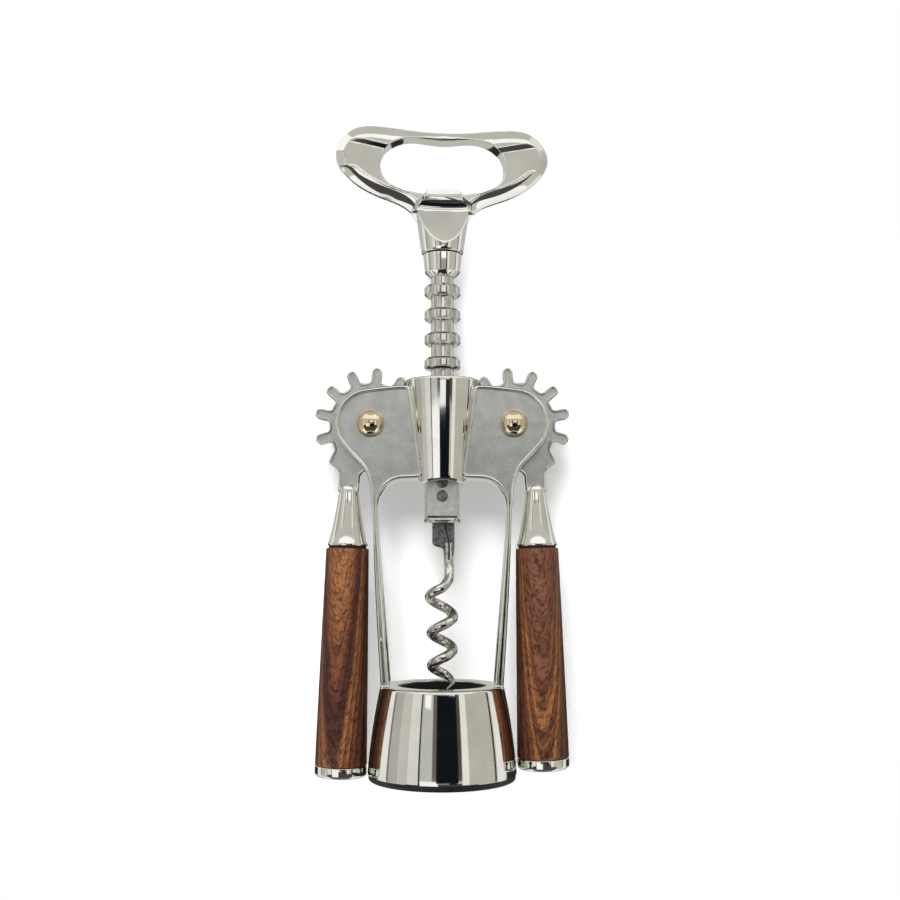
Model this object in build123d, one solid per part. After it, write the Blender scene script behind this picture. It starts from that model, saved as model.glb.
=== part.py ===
from build123d import *
import math
import os

# A wing corkscrew standing upright on its bell foot, in millimetres.
# +Z is up along the worm's axis, +X runs through both lever pivots, and the
# flat faces look along -Y and +Y. The origin is the centre of the foot.

# ---- clearances -------------------------------------------------------------
fit_gap = 0.05            # between a turning shaft and its hole
slide_gap = 0.3           # between pieces that slide or swing past each other
seat_gap = 0.02           # between a pin or spigot and the hole it is pressed in
overlap = 1.0             # how far joined shapes of one solid run into each other
overshoot = 1.0           # how far a cut runs past the solid it cuts

# ---- rack and gears ---------------------------------------------------------
ring_pitch = 6.7          # from one rack ring to the next
ring_count = 8
ring_radius = 4.96
ring_height = 3.3
ring_edge = 0.7           # chamfer on a ring's rims
ring_drop = 10.05         # lowest ring below the pivots
core_radius = 3.15
tooth_step = 28.0         # degrees from one gear tooth to the next
gear_tip_radius = 15.6
gear_root_radius = 11.8
tooth_width = 2.7
tooth_count_up = 8        # teeth above the one that points at the rack
gear_thickness = 4.6

# ---- pivots and head --------------------------------------------------------
pivot_x = 19.3
arm_length = 70.0         # from the bell's roof up to the pivots
pin_radius = 2.45
rivet_head_radius = 3.85
rivet_head_height = 2.7
lobe_radius = 9.5
head_half_depth = 6.0
head_top_rise = 10.8      # rises and drops here are from the pivots
head_top_half = 9.0
rim_width = 1.2
rim_height = 0.5
slot_radius = gear_tip_radius + 0.5

# ---- arms and window --------------------------------------------------------
shoulder_x = 19.2         # outside of an arm just under the head
shoulder_z_drop = 12.4
shoulder_blend = 5.0
arm_foot_inset = 0.2      # an arm's outside from the roof's rim, where it meets the bell
arm_top_width = 2.0
arm_foot_width = 2.8
arm_bow = 0.3             # how far the arm's outside bows from a straight line
arm_half_depth = 4.4
arm_foot_half_depth = 3.7
arm_low_rise = 12.0       # above the roof: the arms thin out from here down to the bell
arm_thick_drop = 13.7     # below the window's top: the depth grows from here up to the head
window_top_drop = 15.0
window_corner = 7.0

# ---- sleeve that guides the rack --------------------------------------------
sleeve_top_rise = 1.5     # above the head
sleeve_top_radius = 10.4
sleeve_bottom_rise = 0.3  # above the window's top
sleeve_bottom_radius = 7.8
sleeve_arch_radius = 9.5  # arch of the sleeve's lower edge, about the Y axis
sleeve_arch_rise = 1.9
sleeve_edge = 0.8
bore_radius = ring_radius + slide_gap

# ---- bell and its liner -----------------------------------------------------
bell_foot_wall = 3.3      # from the bell's inside out to its foot rim
bell_mid_inset = 1.0      # how much narrower than the foot it is half way up
bell_mid_z = 11.6
bell_top_inset = 3.3      # and at the roof
bell_top_z = 24.7
bell_mouth_radius = 11.7
bell_roof = 2.0
bell_wall = 1.9
bell_edge = 0.6
foot_thickness = 1.5      # liner flange under the chrome rim
foot_inset = 0.3          # the flange is a little narrower than the bell
foot_edge = 0.4
bottle_radius = 15.2      # bore that takes a bottle's lip
bottle_depth = 17.0
liner_wall = 1.3
liner_mouth_inset = 0.5   # the liner's mouth is a little narrower than the bell's
liner_taper = 5.7         # the liner narrows over this height below the roof
liner_gap = 0.1

# ---- opener handle ----------------------------------------------------------
handle_turn = 6.0         # degrees the handle is set round from the flat faces
handle_half_depth = 3.0
handle_edge = 1.05
neck_bottom_radius = 5.75
neck_height = 11.0        # heights in this section are above the neck's lower end
neck_top_radius = 7.3
neck_cap = 2.6            # height of the neck's rounded top
shield_height = 2.7       # lower end of the flat facet on the neck's front and back
shield_depth = 5.7        # its distance from the axis there
shield_tilt = 24.0        # degrees that it slopes back to the lobes' face
lobe_root_low = 3.8       # the lobes' outline starts here, inside the neck
lobe_root_side = 6.8
neck_side_half = 8.9      # half width where the neck opens into the handle
neck_side_height = 11.4
flank_half = 16.6         # midway along the lobe's lower edge
flank_height = 15.3
crest_half = 18.6         # highest point of a lobe
crest_rise = 1.8
shoulder_half = 24.6      # where the lobe turns over to the top
shoulder_drop = 1.0       # drops are below the crest
lobe_half = 29.5          # widest point of a lobe
lobe_drop = 8.4
cheek_half = 24.6         # where the lower edge turns up
cheek_drop = 15.9
bar_height = 2.3          # bar over the hole
hole_crest_half = 10.6
hole_crest_rise = 0.4
hole_shoulder_half = 14.9
hole_shoulder_drop = 2.0
hole_half = 17.4
hole_side_drop = 7.7
hole_cheek_half = 15.8
hole_cheek_drop = 11.9
hole_low_half = 12.2
hole_low_rise = 1.7       # above the lowest point of the hole
hole_floor_height = 15.9
hole_height = 15.4
lip_half = 5.4
lip_height = 1.6
lip_half_depth = 1.6
lip_slope = 0.9
spigot_radius = 2.9       # rack's top end inside the handle's neck
spigot_length = 8.3
handle_pin_radius = 1.25
handle_pin_height = 4.8

# ---- collar under the handle ------------------------------------------------
collar_gap = 2.3          # between the top ring and the collar
collar_height = 6.4
collar_top_radius = 5.35
collar_bottom_radius = 4.85
collar_edge = 1.4
collar_counterbore = collar_top_radius + 0.4

# ---- lower end of the rack and the worm -------------------------------------
end_gap = 0.6             # between the lowest ring and the rack's end piece
end_length = 14.5         # rises and drops below are from its lower end
end_round = 0.9
end_flat = 2.9            # distance of the two flats from the axis
end_flat_rise = 1.3
worm_pin_radius = 1.6
worm_pin_rise = 7.3
worm_pin_pitch = 3.65
shank_x = 0.3             # the shank's middle is a little to one side
shank_half_width = 3.0
shank_half_thickness = 1.0
shank_drop = 7.3
shank_top_rise = 12.7
wire_radius = 1.35
wire_offset = 1.75        # the wire leaves the shank's right-hand side
worm_radius = 3.05        # to the wire's centre
worm_tip_radius = 2.75
worm_pitch = 8.7
worm_first_left_drop = 20.8  # where the wire is first furthest to the left
worm_lead_drop = 9.9      # where the wire starts to bend
worm_lead_turn = 90.0     # degrees that the bend turns before the front crossing
worm_first_rise = 1.3     # the first turn starts higher than the even pitch
worm_first_swell = 0.6    # and wider
worm_fade_turn = 270.0    # degrees of turn over which both fade
worm_step = 30.0          # degrees from one section of the wire to the next
worm_end_drop = 40.5      # where the point begins
worm_point_turn = 150.0   # degrees of turn that the point takes
worm_point_radius = 0.25

# ---- lever arm, grip and end cap --------------------------------------------
hook_x = 11.2             # hook tooth: tip, out from the pivot and below it
hook_drop = 10.1
hook_base_x = 9.7
hook_base_drop = 7.2
hook_root_x = 9.2
hook_root_drop = 5.2
hook_under_x = 8.9
hook_under_drop = 11.3
neck_half = 2.25          # half width of the lever's web over the cone
neck_inner_drop = 14.0
neck_outer_drop = 12.0
web_inner_x = 1.5
web_inner_drop = 11.5
web_sink = 3.5            # how far the web runs down into the cone
grip_bell_gap = 0.21      # between the longer grip's lower end and the bell
grip_top_drop = 33.5      # below the pivots
grip_lean = 1.35          # degrees that a grip leans outward
grip_left_length = 57.6   # the two turned grips differ a little
grip_right_length = 55.6
cone_length = 19.0
cone_top_radius = 2.45
cone_mid_radius = 2.85
cone_mid_drop = 5.8
cone_bottom_radius = 5.45
cone_edge = 0.4
washer_thickness = 0.5
grip_top_radius = 5.75
grip_mid_radius = 6.35
grip_bottom_radius = 6.9
grip_edge = 0.35
stud_radius = 1.9
stud_depth = 6.0          # how far the stud goes into the lever
cap_height = 2.9
cap_round = 0.9
cap_socket = 1.4

# ---- worked out from the sizes above ----------------------------------------
pivot_z = bell_top_z + arm_length
head_top_z = pivot_z + head_top_rise
shoulder_z = pivot_z - shoulder_z_drop
window_top_z = pivot_z - window_top_drop
arm_low_z = bell_top_z + arm_low_rise
arm_thin_z = window_top_z - arm_thick_drop
sleeve_top_z = head_top_z + sleeve_top_rise
sleeve_bottom_z = window_top_z + sleeve_bottom_rise
ring_lowest_z = pivot_z - ring_drop
ring_centres = [ring_lowest_z + i * ring_pitch for i in range(ring_count)]
collar_bottom_z = ring_centres[-1] + ring_height / 2 + collar_gap
collar_top_z = collar_bottom_z + collar_height
neck_bottom_z = collar_top_z + slide_gap
neck_top_z = neck_bottom_z + neck_height
shield_z = neck_bottom_z + shield_height
spigot_top_z = neck_bottom_z + spigot_length
handle_pin_z = neck_bottom_z + handle_pin_height
hole_bottom_z = neck_bottom_z + hole_floor_height
dip_z = hole_bottom_z + hole_height + bar_height
end_top_z = ring_lowest_z - ring_height / 2 - end_gap
end_bottom_z = end_top_z - end_length
end_flat_bottom_z = end_bottom_z + end_flat_rise
worm_pin_z = end_bottom_z + worm_pin_rise
shank_bottom_z = end_bottom_z - shank_drop
shank_top_z = end_bottom_z + shank_top_rise
worm_lead_z = end_bottom_z - worm_lead_drop
worm_first_left_z = end_bottom_z - worm_first_left_drop
worm_end_z = end_bottom_z - worm_end_drop
bell_inner_radius = bottle_radius + liner_wall + liner_gap
bell_foot_radius = bell_inner_radius + bell_foot_wall
bell_mid_radius = bell_foot_radius - bell_mid_inset
bell_top_radius = bell_foot_radius - bell_top_inset
arm_foot_x = bell_top_radius - arm_foot_inset
liner_mouth_radius = bell_mouth_radius - liner_mouth_inset
liner_taper_z = bell_top_z - liner_taper
grip_top_z = pivot_z - grip_top_drop
web_bottom_drop = grip_top_drop - cone_length + web_sink
foot_radius = bell_foot_radius - foot_inset
grip_axis = Vector(math.sin(math.radians(grip_lean)), 0, -math.cos(math.radians(grip_lean)))
grip_top_x = bell_foot_radius + grip_bell_gap + grip_bottom_radius - grip_axis.X * grip_left_length
neck_inner_x = grip_top_x - grip_axis.X * cone_length - pivot_x - neck_half
neck_outer_x = neck_inner_x + 2 * neck_half
grip_plane = Plane(origin=(grip_top_x, 0, grip_top_z), x_dir=(0, 1, 0), z_dir=grip_axis)


def upright(sketch, half_depth):
    """A solid from an outline drawn in X and Z, as deep each way along Y."""
    return extrude(Plane.XZ * sketch, amount=half_depth, both=True)


def turned(points):
    """A solid of revolution about Z from (radius, height) points."""
    return revolve(Plane.XZ * make_face(Polyline(*points, close=True)), Axis.Z)


def rod(radius, start, end):
    """A round rod between two points."""
    along = Vector(*end) - Vector(*start)
    plane = Plane(origin=start, z_dir=along)
    return extrude(plane * Circle(radius), amount=along.length)


def cross_rod(radius, x, z, y_from, y_to):
    """A round rod along Y."""
    return rod(radius, (x, y_from, z), (x, y_to, z))


def both_sides(solid):
    """The solid and its mirror image across the YZ plane."""
    return solid + mirror(solid, about=Plane.YZ)


def touch_point(centre, radius, outside, side):
    """Where the line from a point outside a circle touches it."""
    dx, dz = centre[0] - outside[0], centre[1] - outside[1]
    distance = math.hypot(dx, dz)
    length = math.sqrt(distance ** 2 - radius ** 2)
    angle = math.atan2(dz, dx) + side * math.asin(radius / distance)
    return (outside[0] + length * math.cos(angle), outside[1] + length * math.sin(angle))


# ---- frame ------------------------------------------------------------------
def arm_outside(z):
    """Outside of the right arm at a height, bowed between head and bell."""
    share = (z - bell_top_z) / (shoulder_z - bell_top_z)
    straight = arm_foot_x + (shoulder_x - arm_foot_x) * share
    return straight + arm_bow * 4 * share * (1 - share)


def head_half_outline(inset):
    """Right half of the head and arm in X and Z, drawn in by an inset."""
    pivot = (pivot_x, pivot_z)
    radius = lobe_radius - inset
    top = (head_top_half, head_top_z - inset)
    corner = (shoulder_x - inset, shoulder_z)
    upper = touch_point(pivot, radius, top, 1)
    lower = touch_point(pivot, radius, corner, -1)
    low_z = bell_top_z - bell_roof
    middle_z = (shoulder_z + low_z) / 2
    outline = Polyline((0, top[1]), top, upper)
    outline += ThreePointArc(upper, (pivot_x + radius, pivot_z), lower)
    outline += Line(lower, corner)
    outline += ThreePointArc(corner, (arm_outside(middle_z) - inset, middle_z), (arm_foot_x - inset, low_z))
    outline += Polyline((arm_foot_x - inset, low_z), (0, low_z), (0, top[1]))
    face = make_face(outline)
    blend_at = face.vertices().sort_by_distance((*corner, 0))[0]
    return fillet(blend_at, shoulder_blend + inset)


def window_half_outline(grow):
    """Right half of the window between the arms, widened by a rim."""
    side_x = shoulder_x - arm_top_width + grow
    foot_x = arm_foot_x - arm_foot_width + grow
    top_z = window_top_z + grow
    low_z = bell_top_z - bell_roof
    face = make_face(Polyline((0, low_z), (foot_x, low_z), (side_x, window_top_z - 2 * window_corner),
                              (side_x, top_z), (0, top_z), close=True))
    corner = face.vertices().sort_by_distance((side_x, top_z, 0))[0]
    return fillet(corner, window_corner + grow)


def frame_side_profile():
    """The frame seen from the side: thin arms that thicken into the head."""
    points = [(arm_foot_half_depth, bell_top_z - bell_roof), (arm_half_depth, arm_low_z),
              (arm_half_depth, arm_thin_z), (head_half_depth, window_top_z),
              (head_half_depth, sleeve_top_z)]
    mirrored = [(-y, z) for y, z in reversed(points)]
    return Plane.YZ * make_face(Polyline(*points, *mirrored, close=True))


def make_slab():
    """Head plates and arms, with a raised rim round the recessed faces."""
    half = upright(head_half_outline(0) - window_half_outline(0), head_half_depth)
    slab = both_sides(half) & extrude(frame_side_profile(), amount=2 * pivot_x, both=True)
    recess_face = head_half_outline(rim_width) - window_half_outline(rim_width)
    recess_face -= Pos(0, bell_top_z) * Rectangle(4 * pivot_x, 2 * (window_top_z - bell_top_z - rim_width))
    recess = both_sides(extrude(Plane.XZ * recess_face, amount=rim_height))
    front = Pos(0, rim_height - head_half_depth, 0) * recess
    return slab - front - mirror(front, about=Plane.XZ)


def make_sleeve():
    """Round sleeve that tapers down from the head, arched at its foot."""
    sleeve = turned([(0, sleeve_bottom_z), (sleeve_bottom_radius, sleeve_bottom_z),
                     (sleeve_top_radius, sleeve_top_z - sleeve_edge),
                     (sleeve_top_radius - sleeve_edge, sleeve_top_z), (0, sleeve_top_z)])
    arch_z = sleeve_bottom_z + sleeve_arch_rise - sleeve_arch_radius
    return sleeve - cross_rod(sleeve_arch_radius, 0, arch_z, -2 * sleeve_top_radius, 2 * sleeve_top_radius)


def make_bell():
    """Flared bell with a flat roof and a round mouth."""
    outside = Polyline((bell_mouth_radius, bell_top_z), (bell_top_radius - bell_edge, bell_top_z),
                       (bell_top_radius, bell_top_z - bell_edge))
    outside += ThreePointArc((bell_top_radius, bell_top_z - bell_edge), (bell_mid_radius, bell_mid_z),
                             (bell_foot_radius, foot_thickness))
    inside_top = bell_top_z - bell_roof
    inside = Polyline((bell_foot_radius, foot_thickness), (bell_inner_radius, foot_thickness),
                      (bell_inner_radius, liner_taper_z),
                      (bell_top_radius - bell_wall, inside_top), (bell_mouth_radius, inside_top),
                      (bell_mouth_radius, bell_top_z))
    return revolve(Plane.XZ * make_face(outside + inside), Axis.Z)


def make_frame():
    frame = make_slab() + make_sleeve() + make_bell()
    frame -= rod(bore_radius, (0, 0, sleeve_bottom_z - overshoot), (0, 0, sleeve_top_z + overshoot))
    frame -= collar_seat()
    slot_half = gear_thickness / 2 + slide_gap
    through = head_half_depth + overshoot
    for side in (-1, 1):
        frame -= cross_rod(slot_radius, side * pivot_x, pivot_z, -slot_half, slot_half)
        frame -= cross_rod(pin_radius, side * pivot_x, pivot_z, -through, through)
    return frame


def collar_seat():
    """Counterbore that the collar drops into when the rack is right down."""
    travel = math.radians(lever_travel()) * rack_per_radian()
    floor_z = collar_bottom_z - travel - 2 * slide_gap
    return rod(collar_counterbore, (0, 0, floor_z), (0, 0, sleeve_top_z + overshoot))


def rack_per_radian():
    """How far the rack moves for each radian that a gear turns."""
    return ring_pitch / math.radians(tooth_step)


def lever_travel():
    """Degrees that a lever rises before the handle's neck nears the sleeve."""
    stroke = neck_bottom_z - sleeve_top_z - 4 * slide_gap
    return math.degrees(stroke / rack_per_radian())


# ---- liner ------------------------------------------------------------------
def make_bell_liner():
    """Plastic liner: bottle bore below, cork mouth above, foot flange under."""
    outer = bottle_radius + liner_wall
    top_z = bell_top_z - bell_roof - liner_gap
    top_radius = bell_top_radius - bell_wall - liner_gap
    return turned([(bottle_radius, 0), (foot_radius - foot_edge, 0), (foot_radius, foot_edge),
                   (foot_radius, foot_thickness), (outer, foot_thickness), (outer, liner_taper_z),
                   (top_radius, top_z), (liner_mouth_radius, top_z), (liner_mouth_radius, bottle_depth),
                   (bottle_radius, bottle_depth)])


# ---- levers -----------------------------------------------------------------
def tooth_outline(angle):
    """One finger tooth with a round tip, at an angle round the pivot."""
    tip = gear_tip_radius - tooth_width / 2
    finger = Pos(tip / 2, 0) * Rectangle(tip, tooth_width) + Pos(tip, 0) * Circle(tooth_width / 2)
    return Rot(0, 0, angle) * finger


def gear_outline():
    """Gear, hook tooth and web in X and Z about the pivot, of the right lever."""
    outline = Circle(gear_root_radius)
    for i in range(-1, tooth_count_up):
        outline += tooth_outline(180 - i * tooth_step)
    web = make_face(Polyline((0, 0), (hook_root_x, -hook_root_drop), (hook_base_x, -hook_base_drop),
                             (hook_x, -hook_drop), (hook_under_x, -hook_under_drop),
                             (neck_outer_x, -neck_outer_drop), (neck_outer_x, -web_bottom_drop),
                             (neck_inner_x, -web_bottom_drop), (neck_inner_x, -neck_inner_drop),
                             (web_inner_x, -web_inner_drop), close=True))
    return outline + web


def make_lever(grip_length):
    """Right lever: flat gear and web, then a round cone down to the grip."""
    gear = Pos(pivot_x, 0, pivot_z) * upright(gear_outline(), gear_thickness / 2)
    foot = -washer_thickness
    cone = make_face(Polyline((0, -cone_length), (cone_top_radius, -cone_length),
                              (cone_mid_radius, cone_mid_drop - cone_length),
                              (cone_bottom_radius, foot - 2 * cone_edge),
                              (cone_bottom_radius, foot - cone_edge),
                              (cone_bottom_radius - cone_edge, foot), (0, foot), close=True))
    lever = gear + grip_plane * revolve(Plane.XZ * cone, Axis.Z)
    lever -= cross_rod(pin_radius + fit_gap, pivot_x, pivot_z, -gear_thickness, gear_thickness)
    return lever - stud_rod(grip_length, seat_gap)


def stud_rod(grip_length, gap):
    """The stud's cylinder, from inside the lever to inside the end cap."""
    start = -washer_thickness - stud_depth
    end = grip_length + cap_socket
    return grip_plane * Pos(0, 0, start) * extrude(Circle(stud_radius + gap), amount=end - start)


def make_grip(grip_length):
    """Turned wooden grip, slightly barrelled, wider at its lower end."""
    low = grip_length
    bore = stud_radius + seat_gap
    profile = Polyline((bore, 0), (grip_top_radius - grip_edge, 0), (grip_top_radius, grip_edge))
    profile += ThreePointArc((grip_top_radius, grip_edge), (grip_mid_radius, low / 2),
                             (grip_bottom_radius, low - grip_edge))
    profile += Polyline((grip_bottom_radius, low - grip_edge), (grip_bottom_radius - grip_edge, low),
                        (bore, low), (bore, 0))
    return grip_plane * revolve(Plane.XZ * make_face(profile), Axis.Z)


def make_washer():
    """Thin dark washer between the lever's cone and the wood."""
    ring = Circle(cone_bottom_radius - cone_edge) - Circle(stud_radius + seat_gap)
    return grip_plane * Pos(0, 0, -washer_thickness) * extrude(ring, amount=washer_thickness)


def make_end_cap(grip_length):
    """Round cap that closes the grip and holds the stud's lower end."""
    low = grip_length + cap_height
    face = make_face(Polyline((0, grip_length), (grip_bottom_radius, grip_length), (grip_bottom_radius, low),
                              (0, low), close=True))
    rim = face.vertices().sort_by_distance((grip_bottom_radius, low, 0))[0]
    return grip_plane * revolve(Plane.XZ * fillet(rim, cap_round), Axis.Z) - stud_rod(grip_length, seat_gap)


# ---- pivots -----------------------------------------------------------------
def dome(radius, height):
    """A spherical cap on the XY plane."""
    sphere = (radius ** 2 + height ** 2) / (2 * height)
    half_angle = math.asin(radius / sphere) / 2
    middle = (sphere * math.sin(half_angle), height - sphere * (1 - math.cos(half_angle)))
    outline = ThreePointArc((radius, 0), middle, (0, height)) + Polyline((0, height), (0, 0), (radius, 0))
    return revolve(Plane.XZ * make_face(outline), Axis.Z)


def make_pivot_rivet():
    """Rivet with a domed head on the front face, right side."""
    seat = head_half_depth - rim_height
    front = Plane(origin=(pivot_x, -seat, pivot_z), z_dir=(0, -1, 0))
    shaft = cross_rod(pin_radius, pivot_x, pivot_z, -seat, seat + rivet_head_height / 2)
    return front * dome(rivet_head_radius, rivet_head_height) + shaft


def make_rivet_cap():
    """Domed cap pressed on the rivet's end at the back, right side."""
    seat = head_half_depth - rim_height
    back = Plane(origin=(pivot_x, seat, pivot_z), z_dir=(0, 1, 0))
    hole = cross_rod(pin_radius + seat_gap, pivot_x, pivot_z, 0, seat + rivet_head_height / 2 + seat_gap)
    return back * dome(rivet_head_radius, rivet_head_height) - hole


# ---- rack, collar and handle ------------------------------------------------
def make_ring(z):
    """One chamfered rack ring."""
    half = ring_height / 2
    inner = ring_radius - ring_edge
    return turned([(0, z - half), (inner, z - half), (ring_radius, z - half + ring_edge),
                   (ring_radius, z + half - ring_edge), (inner, z + half), (0, z + half)])


def make_rack_end():
    """Round lower end of the rack, with two flats and a slot for the shank."""
    end = turned([(0, end_bottom_z), (ring_radius - end_round, end_bottom_z),
                  (ring_radius, end_bottom_z + end_round), (ring_radius, end_top_z), (0, end_top_z)])
    height = end_top_z - end_flat_bottom_z
    for side in (-1, 1):
        place = Pos(0, side * (end_flat + ring_radius), end_flat_bottom_z + height / 2)
        end -= place * Box(2 * ring_radius, 2 * ring_radius, height)
    return end


def make_rack_shaft():
    """Rack: a core with rings, a spigot on top and the worm's socket below."""
    shaft = rod(core_radius, (0, 0, end_top_z - overlap), (0, 0, neck_bottom_z - overlap))
    shaft += rod(spigot_radius, (0, 0, neck_bottom_z - overlap), (0, 0, spigot_top_z))
    for z in ring_centres:
        shaft += make_ring(z)
    shaft += make_rack_end()
    shaft -= shank_block(seat_gap)
    for z in worm_pin_heights():
        shaft -= cross_rod(worm_pin_radius + seat_gap, 0, z, -ring_radius, ring_radius)
    return shaft - handle_pin_rod(seat_gap)


def make_stop_collar():
    """Collar round the rack, under the handle's neck."""
    bore = core_radius + fit_gap
    return turned([(bore, collar_bottom_z), (collar_bottom_radius - collar_edge, collar_bottom_z),
                   (collar_bottom_radius, collar_bottom_z + collar_edge),
                   (collar_top_radius, collar_top_z), (bore, collar_top_z)])


def mirrored_loop(points):
    """A closed smooth outline from right-half points that start and end at X = 0."""
    left = [(-x, z) for x, z in reversed(points[1:-1])]
    return make_face(Spline(*points, *left, periodic=True))


def handle_outline():
    """Outline of the two lobes; its lowest part lies inside the neck."""
    crest_z = dip_z + crest_rise
    return mirrored_loop([(0, neck_bottom_z + lobe_root_low), (neck_bottom_radius, neck_bottom_z + lobe_root_side),
                          (neck_side_half, neck_bottom_z + neck_side_height),
                          (flank_half, neck_bottom_z + flank_height),
                          (cheek_half, crest_z - cheek_drop), (lobe_half, crest_z - lobe_drop),
                          (shoulder_half, crest_z - shoulder_drop), (crest_half, crest_z), (0, dip_z)])


def hole_outline():
    """Outline of the finger and opener hole."""
    crest_z = dip_z - bar_height + hole_crest_rise
    return mirrored_loop([(0, hole_bottom_z), (hole_low_half, hole_bottom_z + hole_low_rise),
                          (hole_cheek_half, crest_z - hole_cheek_drop), (hole_half, crest_z - hole_side_drop),
                          (hole_shoulder_half, crest_z - hole_shoulder_drop), (hole_crest_half, crest_z),
                          (0, dip_z - bar_height)])


def make_handle_plate():
    """The lobes with bevelled rims, outside and round the hole."""
    plate = upright(handle_outline(), handle_half_depth)
    plate = chamfer(plate.faces().filter_by(Axis.Y).edges(), handle_edge)
    plate -= upright(hole_outline(), handle_half_depth)
    hole_rims = [wire.edges() for face in plate.faces().filter_by(Axis.Y) for wire in face.inner_wires()]
    return chamfer(hole_rims, handle_edge)


def make_lip():
    """Thin opener lip that stands up from the bottom of the hole."""
    top = lip_half - lip_slope
    root_z = hole_bottom_z - overlap
    face = make_face(Polyline((-lip_half, root_z), (lip_half, root_z), (lip_half, hole_bottom_z),
                              (top, hole_bottom_z + lip_height), (-top, hole_bottom_z + lip_height),
                              (-lip_half, hole_bottom_z), close=True))
    return upright(face, lip_half_depth)


def make_neck():
    """Round neck with a flat facet front and back."""
    neck = turned([(0, neck_bottom_z), (neck_bottom_radius, neck_bottom_z), (neck_top_radius, neck_top_z),
                   (neck_top_radius - neck_cap, neck_top_z + neck_cap), (0, neck_top_z + neck_cap)])
    tilt = math.radians(shield_tilt)
    size = 4 * neck_top_radius
    for side in (-1, 1):
        outward = (0, side * math.cos(tilt), math.sin(tilt))
        facet = Plane(origin=(0, side * shield_depth, shield_z), z_dir=outward)
        neck -= facet * Pos(0, 0, size / 2) * Box(size, size, size)
    return neck


def make_opener_handle():
    """Opener handle: two lobes round a hole, over a round neck."""
    handle = make_handle_plate() + make_neck() + make_lip()
    socket = rod(spigot_radius + seat_gap, (0, 0, neck_bottom_z - overshoot), (0, 0, spigot_top_z + seat_gap))
    handle -= socket
    handle = Rot(0, 0, handle_turn) * handle
    return handle - handle_pin_rod(seat_gap)


def handle_pin_rod(gap):
    """Cross pin through the rack's spigot, sunk into the neck at the back."""
    back = shield_depth - math.tan(math.radians(shield_tilt)) * (handle_pin_z + handle_pin_radius - shield_z)
    pin = cross_rod(handle_pin_radius + gap, 0, handle_pin_z, -spigot_radius - overlap, back)
    return Rot(0, 0, handle_turn) * pin


# ---- worm -------------------------------------------------------------------
def worm_pin_heights():
    return (worm_pin_z, worm_pin_z + worm_pin_pitch)


def shank_block(gap):
    """Flat shank that fits the slot in the rack's end."""
    height = shank_top_z - shank_bottom_z
    block = Box(2 * (shank_half_width + gap), 2 * (shank_half_thickness + gap), height + 2 * gap)
    return Pos(shank_x, 0, shank_bottom_z + height / 2) * block


def helix_centre(turn):
    """Centre of the wire after a turn in degrees, going down from the front."""
    share = min(1.0, turn / worm_turns())
    fade = max(0.0, 1.0 - turn / worm_fade_turn)
    radius = worm_radius + (worm_tip_radius - worm_radius) * share + worm_first_swell * fade
    z = worm_first_left_z + worm_pitch / 4 - worm_pitch * turn / 360.0 + worm_first_rise * fade
    return radius, -90.0 - turn, z


def lead_centre(turn):
    """Centre of the wire where it leaves the shank's side and bends to the front."""
    radius, angle, z = helix_centre(0)
    share = 1.0 + turn / worm_lead_turn
    return (wire_offset + (radius - wire_offset) * share ** 2, angle * share ** 1.5,
            z + (worm_lead_z - z) * (1.0 - share))


def wire_centre(turn):
    """Centre of the wire: the lead before the front crossing, the helix after it."""
    radius, angle, z = lead_centre(turn) if turn < 0 else helix_centre(turn)
    return Vector(radius * math.cos(math.radians(angle)), radius * math.sin(math.radians(angle)), z)


def wire_section(turn, radius):
    """A round section of the wire, square to its path."""
    before = max(turn - 1, -worm_lead_turn)
    return Plane(origin=wire_centre(turn), z_dir=wire_centre(turn + 1) - wire_centre(before)) * Circle(radius)


def worm_turns():
    """Degrees of turn from the front crossing to where the point begins."""
    return 360.0 * (worm_first_left_z + worm_pitch / 4 - worm_end_z) / worm_pitch


def make_wire():
    """One smooth wire: straight under the shank, a bend, the helix and its point."""
    straight = (shank_bottom_z + overlap, (shank_bottom_z + worm_lead_z) / 2)
    sections = [Pos(wire_offset, 0, z) * Circle(wire_radius) for z in straight]
    total = worm_lead_turn + worm_turns()
    steps = math.ceil(total / worm_step)
    sections += [wire_section(total * i / steps - worm_lead_turn, wire_radius) for i in range(steps + 1)]
    point_steps = math.ceil(worm_point_turn / worm_step)
    for i in range(1, point_steps + 1):
        share = i / point_steps
        sections.append(wire_section(worm_turns() + worm_point_turn * share,
                                     wire_radius + (worm_point_radius - wire_radius) * share))
    return loft(sections)


def make_worm():
    """Steel worm: flat shank with pin holes, and the wire."""
    return shank_with_pins() + make_wire()


def shank_with_pins():
    """The flat shank with holes for the two pins."""
    shank = shank_block(0)
    left_foot = (shank_x - shank_half_width, 0, shank_bottom_z)
    corner = shank.edges().filter_by(Axis.Y).sort_by_distance(left_foot)[0]
    shank = fillet(corner, shank_half_width)
    for z in worm_pin_heights():
        shank -= cross_rod(worm_pin_radius + seat_gap, 0, z, -ring_radius, ring_radius)
    return shank


def make_worm_pin(z):
    """Coiled pin through the rack's end and the shank."""
    return cross_rod(worm_pin_radius, 0, z, -end_flat, end_flat)


# ---- all the pieces ---------------------------------------------------------
def lever_pieces(grip_length):
    """The pieces of one lever and its pivot, right side, with a grip of a length."""
    return {"lever": make_lever(grip_length), "grip_stud": stud_rod(grip_length, 0),
            "grip_washer": make_washer(), "grip": make_grip(grip_length),
            "end_cap": make_end_cap(grip_length),
            "pivot_rivet": make_pivot_rivet(), "rivet_cap": make_rivet_cap()}


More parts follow.
